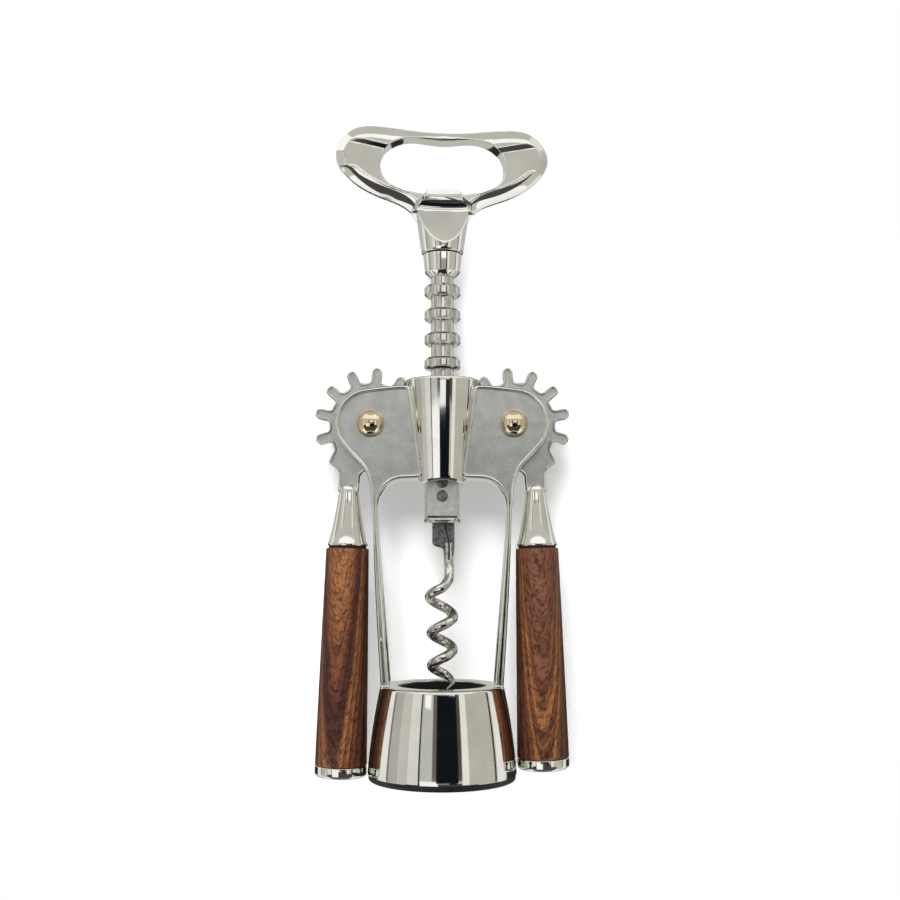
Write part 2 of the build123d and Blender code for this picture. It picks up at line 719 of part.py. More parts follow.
def make_pieces():
    pieces = {"frame": make_frame(), "bell_liner": make_bell_liner(),
              "opener_handle": make_opener_handle(), "stop_collar": make_stop_collar(),
              "rack_shaft": make_rack_shaft(), "worm": make_worm(), "handle_pin": handle_pin_rod(0)}
    for name, z in zip(("worm_pin_lower", "worm_pin_upper"), worm_pin_heights()):
        pieces[name] = make_worm_pin(z)
    for side, grip_length in (("right", grip_right_length), ("left", grip_left_length)):
        for name, piece in lever_pieces(grip_length).items():
            pieces[f"{name}_{side}"] = piece if side == "right" else mirror(piece, about=Plane.YZ)
    return pieces


os.makedirs("parts", exist_ok=True)
for name, piece in make_pieces().items():
    export_step(piece, f"parts/{name}.step")
print(f"lever travel {lever_travel():.1f} degrees, rack {rack_per_radian():.3f} mm per radian")
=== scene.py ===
"""Looks of the wing corkscrew: chromed castings, a turned rack, a steel worm and rosewood grips.

Shapes are written in millimetres, in the model's own frame: the worm's axis is Z, the foot
stands at Z = 0, the lever pivots lie along X and the flat faces look along -Y and +Y.
"""

import bmesh
import bpy
import numpy as np
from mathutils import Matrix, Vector


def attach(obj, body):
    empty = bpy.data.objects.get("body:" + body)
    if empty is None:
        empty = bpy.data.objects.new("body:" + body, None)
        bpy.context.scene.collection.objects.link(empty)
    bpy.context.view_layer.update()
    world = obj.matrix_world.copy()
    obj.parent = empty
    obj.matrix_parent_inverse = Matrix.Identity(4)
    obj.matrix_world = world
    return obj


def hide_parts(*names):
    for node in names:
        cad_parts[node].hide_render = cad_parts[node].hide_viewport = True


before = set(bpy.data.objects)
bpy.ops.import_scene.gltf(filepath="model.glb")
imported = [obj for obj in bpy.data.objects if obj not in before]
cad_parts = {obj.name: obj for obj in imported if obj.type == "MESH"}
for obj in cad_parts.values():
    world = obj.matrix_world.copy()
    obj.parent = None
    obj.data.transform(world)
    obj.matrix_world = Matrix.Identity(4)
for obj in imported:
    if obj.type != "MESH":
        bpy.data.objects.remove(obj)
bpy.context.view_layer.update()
scene = bpy.context.scene

MM = 0.001
CENTRE = np.array([0.0, 0.0, 90.0])   # middle of the tool, which the studio cards face
CAMERA_TILT = 4.9                     # degrees: the camera looks up, and the wall leans to face it


# ---- sizes that several pieces share, in millimetres ----
PIVOT = np.array([19.3, 94.7])         # x and z of the right lever's rivet
RIVET_SEAT = 5.25                      # depth at which the rivets' domes start
HEAD_HALF_DEPTH = 6.0
SLOT_HALF, SLOT_RADIUS = 2.6, 16.1     # room for the gears between the head's two plates
BELL_TOP_Z, SLEEVE_TOP_Z = 24.7, 107.0
GRIP_TOP = np.array([25.653, 0.0, 61.2])
GRIP_LEAN = np.radians(1.35)
GRIP_LENGTHS = {"left": 57.6, "right": 55.6}
SIDES = {"left": -1.0, "right": 1.0}
WOOD_DEPTH = 11.0                      # the wood's colour bands reach from -11 to 11
# the wood: direction through the growth layers, how far they wander in millimetres, and the
# colour at each depth through them, from the front of the grip to its back
GRAIN = {
    "left": (np.array([0.24, 0.96, -0.078]), 1.6, {
        -11.0: "#7E4B2D", -10.3: "#9C653E", -9.4: "#8F5934", -8.7: "#70402A", -8.2: "#4A281F",
        -7.35: "#553025", -7.2: "#905A33", -6.75: "#9C6439", -6.6: "#512D1E", -6.4: "#84522F",
        -5.95: "#935D35", -5.75: "#4A281C", -5.2: "#7E4C2C", -4.6: "#46261A", -3.6: "#6A3C28",
        -2.8: "#331B13", -1.4: "#653924", -0.4: "#834F30", 0.6: "#432418", 2.2: "#76462B",
        3.2: "#3E221A", 4.6: "#845233", 5.6: "#532E20", 7.0: "#94603A", 8.0: "#4A281C",
        9.4: "#80502E", 11.0: "#5A3322"}),
    "right": (np.array([-0.06, 0.98, -0.078]), 1.4, {
        -11.0: "#6B4130", -9.9: "#7C4E39", -9.0: "#6E422E", -8.5: "#824F33", -8.25: "#573020",
        -8.0: "#90592F", -7.6: "#A0673A", -7.45: "#522D1E", -7.3: "#7E4C2D", -7.1: "#5A311F",
        -6.95: "#945D35", -6.65: "#9E6537", -6.45: "#643A23", -6.15: "#7C4A2B", -5.85: "#48261A",
        -5.1: "#703F27", -4.4: "#432318", -3.5: "#683A26", -2.8: "#371D15", -1.2: "#603523",
        0.0: "#7F4D2D", 1.1: "#422318", 2.6: "#72432A", 3.8: "#3C2019", 5.2: "#805032",
        6.4: "#4E2A1E", 8.0: "#8C5A36", 9.4: "#4C2A1E", 11.0: "#6C3F28"}),
}


# ---- outlines and surfaces ----
def unit(vectors):
    """The vectors, each divided by its length."""
    return vectors / np.linalg.norm(vectors, axis=1, keepdims=True)


def rounded(corners, radii, steps=7):
    """Closed outline whose corners are arcs. Each arc starts and ends where its circle
    touches the two straight sides: at radius / tan(half the corner's angle) from the corner."""
    corners = np.asarray(corners, float)
    radii = np.broadcast_to(np.asarray(radii, float), len(corners))[:, None]
    back = np.roll(corners, 1, 0) - corners
    ahead = np.roll(corners, -1, 0) - corners
    back_length = np.linalg.norm(back, axis=1, keepdims=True)
    ahead_length = np.linalg.norm(ahead, axis=1, keepdims=True)
    back, ahead = back / back_length, ahead / ahead_length
    half = np.arccos(np.clip((back * ahead).sum(1, keepdims=True), -0.9999, 0.9999)) / 2
    reach = np.minimum(radii / np.tan(half), 0.499 * np.minimum(back_length, ahead_length))
    radius = reach * np.tan(half)
    centre = corners + unit(back + ahead) * radius / np.sin(half)
    first, last = corners + back * reach - centre, corners + ahead * reach - centre
    turn = np.pi - 2 * half
    share = np.linspace(0, 1, steps)[None, :, None]
    # each point of an arc blends its two end radii, weighted by sines of the turn left and done
    weight = np.sin(np.maximum(turn, 1e-6))[:, None]
    left = np.sin((1 - share) * turn[:, None]) * first[:, None]
    done = np.sin(share * turn[:, None]) * last[:, None]
    return (centre[:, None] + (left + done) / weight).reshape(-1, 2)


def spaced(outline, step, closed=True):
    """The outline with extra points, each side cut in equal parts no longer than the step."""
    here, ahead = (outline, np.roll(outline, -1, 0)) if closed else (outline[:-1], outline[1:])
    counts = np.maximum(1, np.ceil(np.linalg.norm(ahead - here, axis=1) / step)).astype(int)
    start = np.repeat(np.arange(len(here)), counts)
    done = np.arange(counts.sum()) - np.repeat(np.cumsum(counts) - counts, counts)
    share = done / np.repeat(counts, counts)
    run = here[start] + (ahead[start] - here[start]) * share[:, None]
    return run if closed else np.concatenate([run, outline[-1:]])


def inward(outline):
    """Unit normals of a closed outline that runs anticlockwise, pointing to its inside."""
    along = np.roll(outline, -1, 0) - np.roll(outline, 1, 0)
    along /= np.maximum(np.linalg.norm(along, axis=1, keepdims=True), 1e-9)
    return np.stack([-along[:, 1], along[:, 0]], 1)


def grid_faces(rows, columns, wrap_rows=False, wrap_columns=True):
    """Quads that join neighbours of a rows x columns grid of points."""
    r = np.arange(rows if wrap_rows else rows - 1)[:, None]
    c = np.arange(columns if wrap_columns else columns - 1)[None, :]
    r2, c2 = (r + 1) % rows, (c + 1) % columns
    corners = (r * columns + c, r * columns + c2, r2 * columns + c2, r2 * columns + c)
    return np.stack(np.broadcast_arrays(*corners), -1).reshape(-1, 4).tolist()


def arc(x, z, radius, angle):
    """Points round (x, z): it plus the radius times the cosine and sine of each angle."""
    return np.stack([x + radius * np.cos(angle), z + radius * np.sin(angle)], 1)


def upright(flat, depth):
    """Flat (x, z) points stood up at a depth along Y, one for all or one each."""
    return np.stack([flat[:, 0], np.broadcast_to(depth, len(flat)), flat[:, 1]], 1)


def solid(points, closed_path=False, ends=True):
    """Vertices and faces of a closed skin over rings of points (rings x points x 3): quads
    between rings, and a flat face over the first and the last one unless the path is closed."""
    rings, count = points.shape[:2]
    faces = grid_faces(rings, count, wrap_rows=closed_path)
    if ends and not closed_path:
        faces += [list(range(count))[::-1], list(range((rings - 1) * count, rings * count))]
    return points.reshape(-1, 3), faces


def lathe(profile, closed=True, count=144):
    """A (radius, height) profile turned about Z: each ring has the radius times the cosine and
    sine of an angle that runs once round."""
    angle = np.linspace(0, 2 * np.pi, count, endpoint=False)
    radius, height = np.asarray(profile, float).T
    rings = np.stack([radius[:, None] * np.cos(angle), radius[:, None] * np.sin(angle),
                      np.repeat(height[:, None], count, 1)], -1)
    return solid(rings, closed_path=closed, ends=False)


def turned(corners, radii, steps=6, count=144):
    """A lathe piece from a closed profile with rounded corners."""
    return lathe(rounded(corners, radii, steps), True, count)


def to_grip(points, side):
    """From a grip's own axes (height above its top is -Z) to the tool's, mirrored for the left."""
    x, y, down = points[:, 0], points[:, 1], -points[:, 2]
    world = np.stack([GRIP_TOP[0] + x * np.cos(GRIP_LEAN) + down * np.sin(GRIP_LEAN), y,
                      GRIP_TOP[2] + x * np.sin(GRIP_LEAN) - down * np.cos(GRIP_LEAN)], 1)
    return world * [side, 1, 1]


def linked(name, data):
    """A new object in the scene."""
    made = bpy.data.objects.new(name, data)
    scene.collection.objects.link(made)
    return made


def piece(name, shells, body, finishes, replaced=(), kinds=None, crease=32):
    """One finished piece from closed shells of (points in mm, faces): doubles merged, faces
    turned outward, smooth up to the crease angle, riding on its body. kinds gives each
    shell's list of finish numbers where its faces differ."""
    points = np.concatenate([s[0] for s in shells]) * MM
    offsets = np.cumsum([0] + [len(s[0]) for s in shells])
    faces = [[int(i) + int(o) for i in f] for s, o in zip(shells, offsets) for f in s[1]]
    mesh = bpy.data.meshes.new(name)
    mesh.from_pydata(points.tolist(), [], faces)
    for finish in finishes:
        mesh.materials.append(finish)
    if kinds is not None:
        mesh.polygons.foreach_set("material_index", np.concatenate(kinds).astype(np.int32))
    cleaner = bmesh.new()
    cleaner.from_mesh(mesh)
    bmesh.ops.remove_doubles(cleaner, verts=cleaner.verts, dist=0.002 * MM)
    bmesh.ops.dissolve_degenerate(cleaner, edges=cleaner.edges, dist=0.001 * MM)
    bmesh.ops.recalc_face_normals(cleaner, faces=cleaner.faces)
    cleaner.to_mesh(mesh)
    cleaner.free()
    mesh.polygons.foreach_set("use_smooth", np.ones(len(mesh.polygons), bool))
    mesh.set_sharp_from_angle(angle=np.radians(crease))
    made = linked(name, mesh)
    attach(made, body)
    if replaced:
        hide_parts(*replaced)


def slab(outline, edges):
    """A plate from a flat outline: it shrinks by each edge's inset at that edge's depth."""
    normal = inward(outline)
    return solid(np.stack([upright(outline + normal * inset, depth) for inset, depth in edges]))


def mirrored(shell, axes):
    """The shell with its points multiplied by +1 or -1 along each axis."""
    return np.asarray(shell[0]) * axes, shell[1]


# ---- materials ----
def linear(colour):
    """An sRGB hex colour as linear RGBA."""
    values = np.array([int(colour[i:i + 2], 16) for i in (1, 3, 5)]) / 255
    values = np.where(values <= 0.04045, values / 12.92, ((values + 0.055) / 1.055) ** 2.4)
    return (*values.tolist(), 1.0)


def add(tree, kind, inputs=None, stops=None, **settings):
    """Adds a shader node to a tree with its settings, gives each input a value, a socket or
    another node's first output, and sets its (position, hex colour) stops where it has them."""
    made = tree.nodes.new("ShaderNode" + kind)
    for key, value in settings.items():
        setattr(made, key, value)
    for index, (position, colour) in enumerate(stops or []):
        band = made.color_ramp.elements
        stop = band[index] if index < len(band) else band.new(position)
        stop.position, stop.color = position, linear(colour)
    for key, value in (inputs or {}).items():
        if isinstance(value, bpy.types.Node):
            value = value.outputs[0]
        if isinstance(value, bpy.types.NodeSocket):
            tree.links.new(value, made.inputs[key])
        else:
            made.inputs[key].default_value = value
    return made


def emptied_tree(owner):
    """The node tree of a material or a world, with no node in it."""
    owner.use_nodes = True
    owner.node_tree.nodes.clear()
    return owner.node_tree


def new_material(name):
    """An empty material and its tree."""
    material = bpy.data.materials.new(name)
    return material, emptied_tree(material)


def plated_metal(name, light, dark, rough, rough_spread, cloud_mm, grit_mm, grit_height, speck=0.0):
    """A metal surface: a cloudy change between two near colours, a fine unevenness of the
    polish, and, where speck is above 0, small bright and dull flecks."""
    material, tree = new_material(name)
    place = add(tree, "TexCoord").outputs["Object"]
    cloud = add(tree, "TexNoise", {"Vector": place, "Scale": 1 / (cloud_mm * MM), "Detail": 3.0})
    grit = add(tree, "TexNoise", {"Vector": place, "Scale": 1 / (grit_mm * MM), "Detail": 2.0})
    tone = add(tree, "ValToRGB", {"Fac": cloud}, [(0.35, dark), (0.65, light)])
    roughness = add(tree, "MapRange", {
        "Value": cloud, "From Min": 0.3, "From Max": 0.7,
        "To Min": rough, "To Max": rough + rough_spread})
    if speck > 0:
        flecks = add(tree, "TexNoise", {
            "Vector": place, "Scale": 1 / (0.35 * MM), "Detail": 4.0, "Roughness": 0.7})
        where = add(tree, "ValToRGB", {"Fac": flecks}, [(0.55, "#000000"), (0.66, "#FFFFFF")])
        amount = add(tree, "Math", {0: where, 1: speck}, operation="MULTIPLY")
        tone = add(tree, "Mix", {"Factor": amount, "A": tone, "B": linear("#F4F4F0")},
                   data_type="RGBA").outputs["Result"]
    bump = add(tree, "Bump", {"Height": grit, "Strength": 1.0, "Distance": grit_height * MM})
    shader = add(tree, "BsdfPrincipled", {"Base Color": tone, "Metallic": 1.0, "Roughness": roughness,
                                          "Normal": bump})
    add(tree, "OutputMaterial", {"Surface": shader})
    return material


# Zinc casting, polished and chromed: mirror bright, with the slight ripple of a buffed casting.
polished_chrome = plated_metal("polished_chrome_plate", "#EDECE6", "#E2E1DB",
                               0.045, 0.03, 9.0, 2.2, 0.0022)
# The same plating over a face that was left as cast: a satin grey with fine flecks.
satin_chrome = plated_metal("satin_chrome_plate", "#D6D8D5", "#C6C8C4",
                            0.34, 0.04, 3.0, 0.4, 0.030, speck=1.0)
# Turned steel with thin plating: bright, with dull flecks from the tool.
rack_steel = plated_metal("turned_plated_steel", "#DCDBD5", "#C9C8C2",
                          0.10, 0.08, 2.0, 0.6, 0.004, speck=0.25)
# The rack's milled flats, tumbled before plating: a pale sparkling grey.
milled_steel = plated_metal("tumbled_plated_steel", "#F0F1EE", "#D8D9D6",
                            0.48, 0.06, 1.6, 0.4, 0.03, speck=0.8)
# Drawn steel wire, polished dark.
worm_wire_steel = plated_metal("polished_spring_steel", "#E6E4DF", "#B2AFAA",
                               0.08, 0.08, 1.4, 0.8, 0.008)
# The worm's flat shank as forged: dark grey, rough, with bright pits.
worm_shank_steel = plated_metal("forged_spring_steel", "#8C8C8C", "#5E6063",
                                0.42, 0.12, 1.2, 0.45, 0.02, speck=0.5)
# Nickel plated rivet heads, headed cold and then tumbled: warm, pale gold and mirror bright.
rivet_nickel = plated_metal("warm_nickel_plate", "#EBDCC2", "#E2D0B2",
                            0.05, 0.02, 3.0, 1.0, 0.001)
# Pins rolled from bare strip: a dull grey with a soft gleam.
pin_steel = plated_metal("rolled_strip_steel", "#9C9B98", "#7C7B79",
                         0.25, 0.1, 1.0, 0.3, 0.006)


def moulded_plastic(name, colour, rough, grain_height):
    """Injection moulded plastic: one dark colour with a faint cloud, and a fine moulded grain."""
    material, tree = new_material(name)
    place = add(tree, "TexCoord").outputs["Object"]
    grain = add(tree, "TexNoise", {"Vector": place, "Scale": 1 / (0.4 * MM), "Detail": 2.0})
    roughness = add(tree, "MapRange", {"Value": grain, "To Min": rough - 0.06, "To Max": rough + 0.06})
    tone = add(tree, "ValToRGB", {"Fac": grain}, [(0.3, colour), (0.8, "#121416")])
    bump = add(tree, "Bump", {"Height": grain, "Strength": 1.0, "Distance": grain_height * MM})
    shader = add(tree, "BsdfPrincipled", {"Base Color": tone, "Roughness": roughness, "IOR": 1.5,
                                          "Normal": bump})
    add(tree, "OutputMaterial", {"Surface": shader})
    return material


# Polypropylene moulded in black: deep and even, with a low sheen from the mould's grain.
black_plastic = moulded_plastic("moulded_black_polypropylene", "#070809", 0.48, 0.004)
# A nearly black washer, dry and without gleam, set in a little between the lever's foot and the wood:
# it gives the dark line where they meet.
dark_joint_washer = moulded_plastic("nearly_black_washer", "#141312", 0.75, 0.01)


def turned_rosewood(name, middle, layers, bend, bands):
    """Turned and oiled rosewood. The growth layers are nearly flat and lean about 5 degrees to the
    grip, so turning it round cuts them into long U shapes that close below. The depth through
    the layers, in millimetres, picks the colour bands; a second, steeper set of fine layers
    gives the small chevrons of the cut vessels, and short dark pores lie along the grain."""
    material, tree = new_material(name)
    # measured from the grip's own axis, which stands at x = middle
    place = add(tree, "Mapping", {"Vector": add(tree, "TexCoord").outputs["Object"],
                                  "Location": (-middle * MM, 0.0, 0.0)})
    slow = add(tree, "Mapping", {"Vector": place, "Scale": (100.0, 100.0, 1 / 0.038)})
    wander = add(tree, "TexNoise", {"Vector": slow, "Scale": 1.0, "Detail": 2.5, "Roughness": 0.5})
    # depth through the layers, bent by a slow wander of about bend millimetres
    depth = add(tree, "VectorMath", {0: place, 1: tuple(layers / MM)},
                operation="DOT_PRODUCT").outputs["Value"]
    bent = add(tree, "Math", {0: wander, 1: bend, 2: depth}, operation="MULTIPLY_ADD")
    share = add(tree, "MapRange", {"Value": bent, "From Min": 0.5 * bend - WOOD_DEPTH,
                                   "From Max": 0.5 * bend + WOOD_DEPTH})
    figure = add(tree, "ValToRGB", {"Fac": share}, [
        ((d + WOOD_DEPTH) / (2 * WOOD_DEPTH), colour) for d, colour in bands.items()])
    # thin dark lines where a season ended, about 0.45 mm apart in depth
    line = add(tree, "Math", {0: bent, 1: 2.2}, operation="MULTIPLY")
    line = add(tree, "Math", {0: line}, operation="FRACT")
    line = add(tree, "ValToRGB", {"Fac": line}, [
        (0.0, "#A8A8A8"), (0.16, "#FFFFFF"), (0.84, "#FFFFFF"), (1.0, "#A8A8A8")])
    # vessels: layers that lean 20 degrees, 0.3 mm apart, broken along the grip and across it
    steep = add(tree, "VectorMath", {0: place, 1: (60.0, 940.0, -330.0)},
                operation="DOT_PRODUCT").outputs["Value"]
    axes = add(tree, "SeparateXYZ", {"Vector": place})
    wide = add(tree, "Math", {0: axes.outputs["X"], 1: 1 / 0.0011}, operation="MULTIPLY")
    long = add(tree, "Math", {0: axes.outputs["Z"], 1: 1 / 0.0030}, operation="MULTIPLY")
    fine = add(tree, "Math", {0: wander, 1: 2.0, 2: steep}, operation="MULTIPLY_ADD")
    fine = add(tree, "Math", {0: fine, 1: 1 / 0.30}, operation="MULTIPLY")
    vessel_at = add(tree, "CombineXYZ", {"X": wide, "Y": fine, "Z": long})
    vessels = add(tree, "TexNoise", {"Vector": vessel_at, "Scale": 1.0, "Detail": 2.0,
                                     "Roughness": 0.65})
    vessel_shade = add(tree, "ValToRGB", {"Fac": vessels}, [
        (0.34, "#6E6E6E"), (0.50, "#DADADA"), (0.66, "#FFFFFF")])
    # pores: 0.3 mm wide and 2.2 mm long, along the grip
    thin = add(tree, "Mapping", {"Vector": place, "Scale": (1 / 0.0003, 1 / 0.0003, 1 / 0.0022)})
    pores = add(tree, "TexNoise", {"Vector": thin, "Scale": 1.0, "Detail": 1.0, "Roughness": 0.5})
    pore_shade = add(tree, "ValToRGB", {"Fac": pores}, [(0.30, "#8C8C8C"), (0.45, "#FFFFFF")])
    tone = figure
    for amount, shade in ((0.8, line), (0.85, vessel_shade), (0.8, pore_shade)):
        tone = add(tree, "Mix", {"Factor": amount, "A": tone, "B": shade}, data_type="RGBA",
                   blend_type="MULTIPLY").outputs["Result"]
    bump = add(tree, "Bump", {"Height": vessels, "Strength": 1.0, "Distance": 0.03 * MM})
    shader = add(tree, "BsdfPrincipled", {
        "Base Color": tone, "Roughness": 0.42, "IOR": 1.5, "Specular IOR Level": 0.25, "Normal": bump})
    add(tree, "OutputMaterial", {"Surface": shader})
    return material


# ---- bell and liner ----
def bell_profile():
    """Outside of the bell: the parabola through its foot, middle and top points, a rounded roof
    edge, a flat roof with a low step round the mouth, and the inner wall round the liner."""
    z = np.linspace(1.9, 23.8, 26)
    # curve through (19.9, 1.5), (18.8, 11.6) and (16.6, 24.1): radius as a height function
    a, b, c = np.polyfit([1.5, 11.6, 24.1], [19.9, 18.8, 16.6], 2)
    side = np.stack([a * z * z + b * z + c, z], 1)
    turn = np.linspace(0, np.pi / 2, 7)
    edge = arc(15.66, 23.7, 1.0, np.linspace(0.21, np.pi / 2, 9))
    mouth = np.stack([12.3 - 0.4 * np.sin(turn), 24.3 + 0.4 * np.cos(turn)], 1)
    roof = [[15.2, 24.7], [12.7, 24.7]]
    inside = [[11.9, 22.8], [14.7, 22.7], [16.6, 19.0], [16.6, 1.55], [16.7, 1.5], [19.6, 1.5],
              [19.85, 1.6]]
    return np.concatenate([side, edge, roof, mouth, inside])


piece("bell", [lathe(bell_profile(), True, 192)], "frame", [polished_chrome],
      ["frame"])
# the liner: foot flange, outer wall, roof and mouth, then the bore for the bottle's lip
liner = turned([(15.2, 0), (19.6, 0), (19.6, 1.48), (16.5, 1.48), (16.5, 19.0), (14.6, 22.6),
                (11.85, 22.6), (11.85, 24.35), (11.2, 24.35), (11.2, 17.0), (15.2, 17.0)],
               [0.3, 0.45, 0.1, 0.1, 0.4, 0.3, 0.05, 0.2, 0.25, 0.3, 0.5], count=160)
piece("liner", [liner], "frame", [black_plastic], ["bell_liner"])


# ---- head plates, arms and sleeve ----
def half_depth(z):
    """Half depth of the head and arms at a height: 6 over the window's top, thinning to 4.4
    along the arms and to 3.7 at the bell."""
    return np.interp(z, [22.7, 36.7, 66.0, 79.7], [3.7, 4.4, 4.4, HEAD_HALF_DEPTH])


def arm_outside(z):
    """Outside of the right arm at a height, bowed 0.3 from a straight line."""
    share = (z - BELL_TOP_Z) / (82.3 - BELL_TOP_Z)
    return 16.4 + (19.2 - 16.4) * share + 0.3 * 4 * share * (1 - share)


def arm_inside(z):
    """Window side of the right arm: straight from the bell to where the corner arc starts."""
    return np.interp(z, [22.7, 65.7], [13.6, 17.2])


def plate_outline():
    """Right half of the head and its arm, anticlockwise, in two runs whose arm points share
    heights: the head's loop first, then the arm down outside and up inside."""
    heights = np.linspace(72.0, BELL_TOP_Z - 0.6, 40)
    arm_out = np.stack([arm_outside(heights), heights], 1)
    arm_in = np.stack([arm_inside(heights), heights], 1)
    # the window's corner, an arc of radius 7, and the window's top to the sleeve
    corner = arc(10.2, 72.7, 7, np.radians(np.linspace(0, 90, 16)))
    top = np.array([[8.6, 79.7], [7.0, 79.7], [5.5, 79.75]])
    sleeve = np.stack([np.linspace(5.05, 8.5, 22), np.linspace(80.2, 104.9, 22)], 1)
    # over the lobe: flat top, the tangent, the lobe's arc and the blend into the arm
    start = np.array([[8.9, 105.35], [9.6, 105.42]])
    lobe = arc(*PIVOT, 9.5, np.radians(np.linspace(84, -38, 40)))
    blend = np.array([[24.9, 86.6], [23.2, 85.0], [21.6, 83.4], [20.4, 81.8], [19.75, 80.2],
                      [19.4, 78.4], [19.3, 76.4], [19.25, 74.2]])
    right = np.concatenate([start, lobe, blend])
    loop = np.concatenate([corner, top, sleeve, right])       # runs clockwise
    return loop[::-1], arm_in, arm_out


def smooth_run(points, rounds=2):
    """An open run of points eased by averaging each with its neighbours."""
    for _ in range(rounds):
        middle = (points[:-2] + 2 * points[1:-1] + points[2:]) / 4
        points = np.concatenate([points[:1], middle, points[-1:]])
    return points


def resampled(points, step):
    """An open run of points, evenly spaced along its length."""
    length = np.concatenate([[0], np.cumsum(np.linalg.norm(np.diff(points, axis=0), axis=1))])
    at = np.linspace(0, length[-1], int(np.ceil(length[-1] / step)) + 1)
    return np.stack([np.interp(at, length, points[:, i]) for i in range(2)], 1)


def rimmed_plate():
    """Front shell of the right half: a half-round bead carried round the outline, with its
    width easing from 1.15 on the head to 0.75 on the arm and a deeper bevel round the window, a
    recessed face inside it, a wall back to the gear slot or the middle plane, and an inner face."""
    loop, arm_in, arm_out = plate_outline()
    loop = smooth_run(resampled(smooth_run(loop), 0.5))
    ring = np.concatenate([loop, arm_in, arm_out[::-1]])
    count, head, arm = len(ring), len(loop), len(arm_in)
    normal = inward(ring)
    depth = half_depth(ring[:, 1])
    wide = np.interp(ring[:, 1], [64.0, 82.0], [0.75, 1.15])
    edge = np.interp(ring[:, 1], [74.0, 86.0], [2.0, 1.0])
    # the window's side is bevelled wider and deeper than the rest
    place = np.arange(count)
    up_arm = (place >= head) & (place < head + arm)
    window = up_arm | ((ring[:, 1] < 80.0) & (ring[:, 0] < 17.3) & (place < head))
    wide = np.where(window, np.interp(ring[:, 1], [25, 66, 72, 79], [1.25, 0.85, 0.9, 1.25]), wide)
    drop = np.where(window, 1.3, edge)
    in_slot = np.hypot(*(ring - PIVOT).T) < SLOT_RADIUS
    back = np.where(in_slot, SLOT_HALF, 0.0)
    inner = ring + normal * 0.5
    inner_back = np.where(place < head, SLOT_HALF, 0.0)
    rows = [upright(inner, -inner_back), upright(ring, -back)]
    for turn in np.linspace(0, np.pi, 11):
        at = ring + normal * (wide * (1 - np.cos(turn)) / 2)[:, None]
        fall = drop if turn < np.pi / 2 else 0.75
        rows.append(upright(at, -(depth - fall + fall * np.sin(turn))))
    points = np.stack(rows)
    faces = grid_faces(len(rows), count)
    kinds = [0] * len(faces)
    for row in (0, len(rows) - 1):
        base = row * count
        side = [base + head + i for i in range(arm)]
        other = [base + count - 1 - i for i in range(arm)]
        faces.append([base + i for i in range(head)] + [side[0], other[0]])
        faces += [[side[i], side[i + 1], other[i + 1], other[i]] for i in range(arm - 1)]
        kinds += [1] + [0] * (arm - 1)
    return (points.reshape(-1, 3), faces), kinds


plate, plate_kinds = rimmed_plate()
quarters = [mirrored(plate, (sx, sy, 1.0)) for sx in (1.0, -1.0) for sy in (1.0, -1.0)]
piece("head_plates_and_arms", quarters, "frame", [polished_chrome, satin_chrome],
      ["frame"], kinds=[plate_kinds] * 4)


def sleeve_half():
    """Front half of the sleeve: at each height a ring out along the tapered outside, round the
    front, and back along the bore. The lower edge drops by 1.1 towards the sides, and
    rises again where the sleeve sinks into the plates."""
    low_edge, top_edge = [0, 0.004, 0.012, 0.025], [0.968, 0.98, 0.99, 0.997, 1]
    share = np.concatenate([low_edge, np.linspace(0.05, 0.955, 24), top_edge])
    inset = np.interp(share, low_edge + top_edge, [0.35, 0.14, 0.04, 0, 0, 0.06, 0.2, 0.42, 0.7])
    low_radius, top_radius, bore, wide_bore = 7.8, 10.4, 5.26, 5.75
    sweep = np.linspace(0, 1, 73)
    rows = []
    for s, cut in zip(share, inset):
        halves = []
        for radius, run in ((low_radius + (top_radius - low_radius) * s - cut, sweep),
                            (bore if s < 0.77 else wide_bore, sweep[::-1])):
            start = np.arcsin(SLOT_HALF / radius)
            halves.append(arc(0, 0, radius, np.pi + start + (np.pi - 2 * start) * run))
        flat = np.concatenate(halves)
        low = np.interp(np.abs(flat[:, 0]), [0, 1.5, 3, 4.5, 5.6, 5.75, 20],
                        [79.35, 79.28, 79.05, 78.65, 78.2, 80.3, 80.3])
        rows.append(np.concatenate([flat, (low + (SLEEVE_TOP_Z - low) * s)[:, None]], 1))
    return solid(np.stack(rows))


half = sleeve_half()
piece("sleeve", [half, mirrored(half, (1, -1, 1))], "frame", [polished_chrome],
      ["frame"], crease=25)


# ---- rivets ----
def rivet_head():
    """A spherical cap of radius 3.85 and height 2.7 on a short neck, its axis along -Y."""
    radius, height = 3.85, 2.7
    sphere = (radius ** 2 + height ** 2) / (2 * height)
    turn = np.linspace(0, np.arcsin(radius / sphere), 22)
    cap = np.stack([sphere * np.sin(turn), height - sphere * (1 - np.cos(turn))], 1)
    profile = np.concatenate([cap[:-1], [[3.82, 0.0], [2.45, -0.02], [2.45, -2.7], [0.0, -2.7]]])
    points, faces = lathe(profile, False, 72)
    return upright(points[:, :2] + PIVOT, -(RIVET_SEAT + points[:, 2])), faces


for name, side in SIDES.items():
    for kind, face, node in (("head", 1, "pivot_rivet"), ("cap", -1, "rivet_cap")):
        piece(f"pivot_rivet_{kind}_{name}", [mirrored(rivet_head(), (side, face, 1))], "frame",
              [rivet_nickel], [f"{node}_{name}"])


